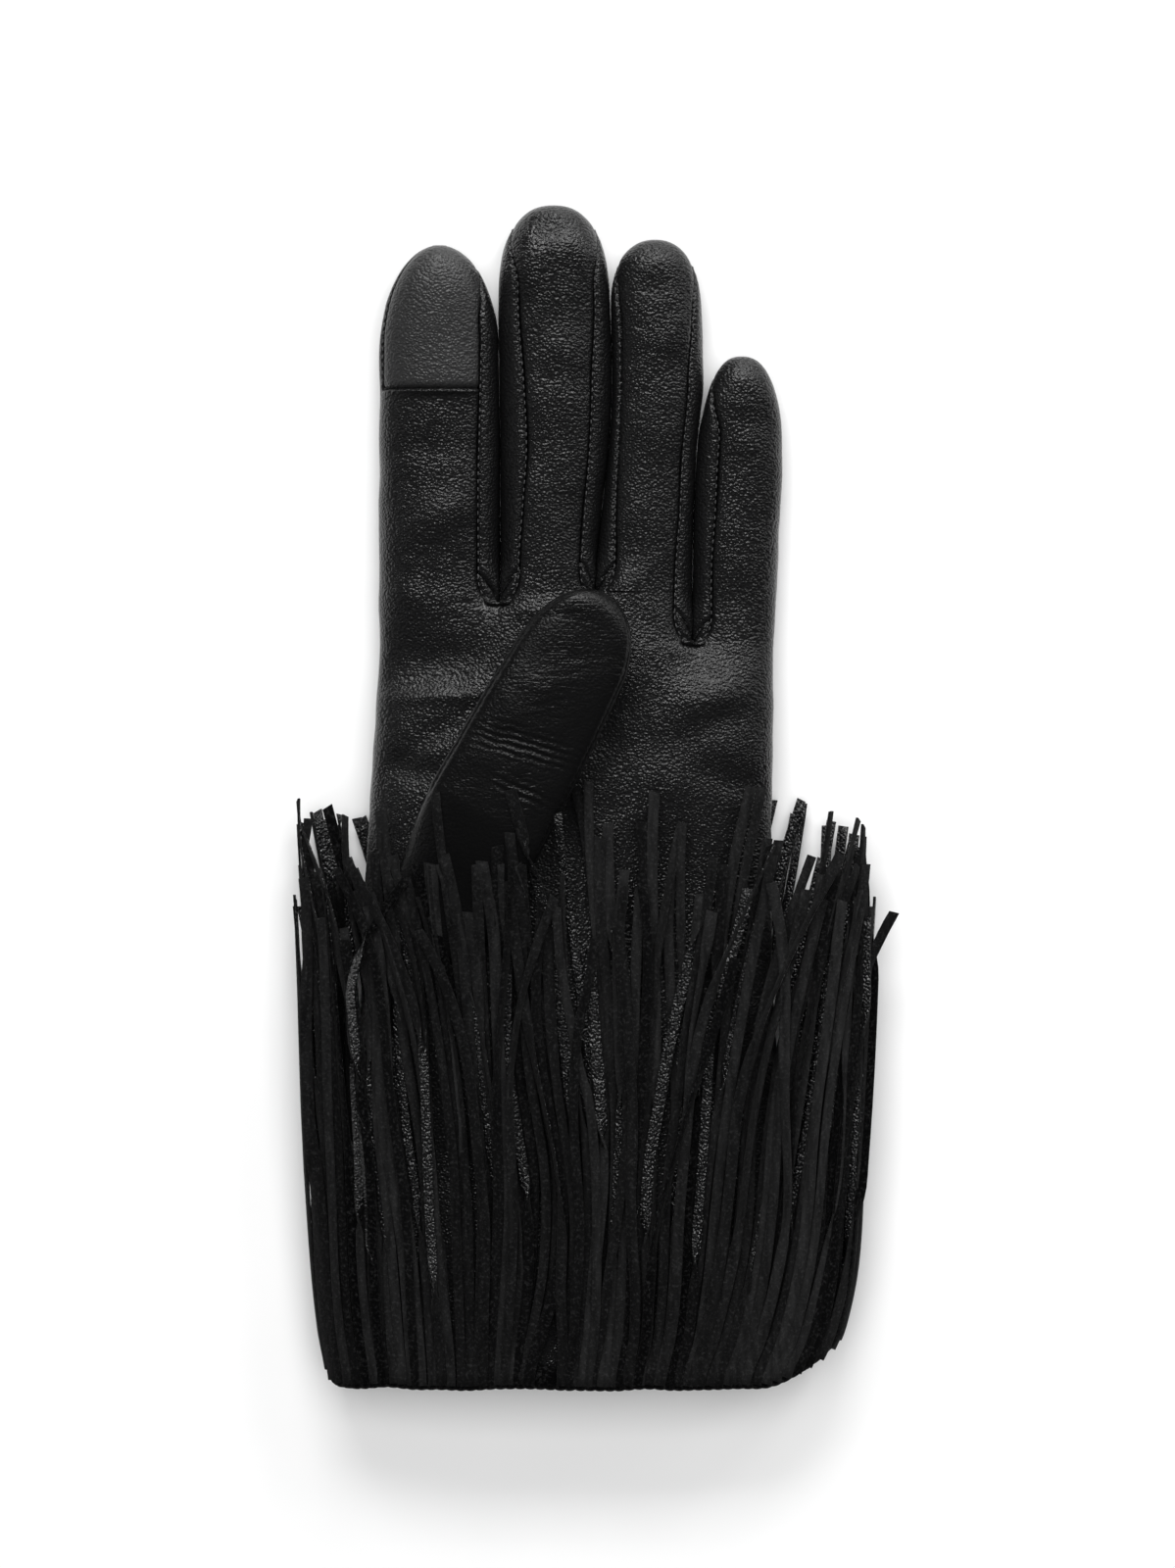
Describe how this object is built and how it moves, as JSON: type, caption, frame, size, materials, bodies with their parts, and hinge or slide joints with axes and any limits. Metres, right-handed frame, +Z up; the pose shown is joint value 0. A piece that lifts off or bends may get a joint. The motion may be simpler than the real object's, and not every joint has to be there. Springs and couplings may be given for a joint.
{
  "type": "fringed leather glove",
  "caption": "Women's left-hand dress glove of thin black leather, hollow, lying on its back with the thumb folded over the palm and a deep suede fringe round the cuff.",
  "frame": {"origin": "on the table under the middle of the glove's box", "axes": "+Y towards the fingertips, +X towards the little finger, +Z up out of the palm"},
  "size_m": [0.1286, 0.254, 0.0353],
  "materials": {
    "leather": "semi-gloss fine-grained nappa",
    "patch_leather": "smoother satin leather",
    "suede": "matt suede with a grained reverse"
  },
  "bodies": {
    "root": {"palm_panel": "leather", "back_panel": "leather", "fingertip_patch": "patch_leather", "thumb": "leather", "fourchette_index_middle": "leather", "fourchette_middle_ring": "leather", "fourchette_ring_little": "leather", "gusset_index_middle": "leather", "gusset_middle_ring": "leather", "gusset_ring_little": "leather", "fringe_palm_long": "suede", "fringe_palm_short": "suede", "fringe_back_long": "suede", "fringe_back_short": "suede"}
  },
  "joints": []
}
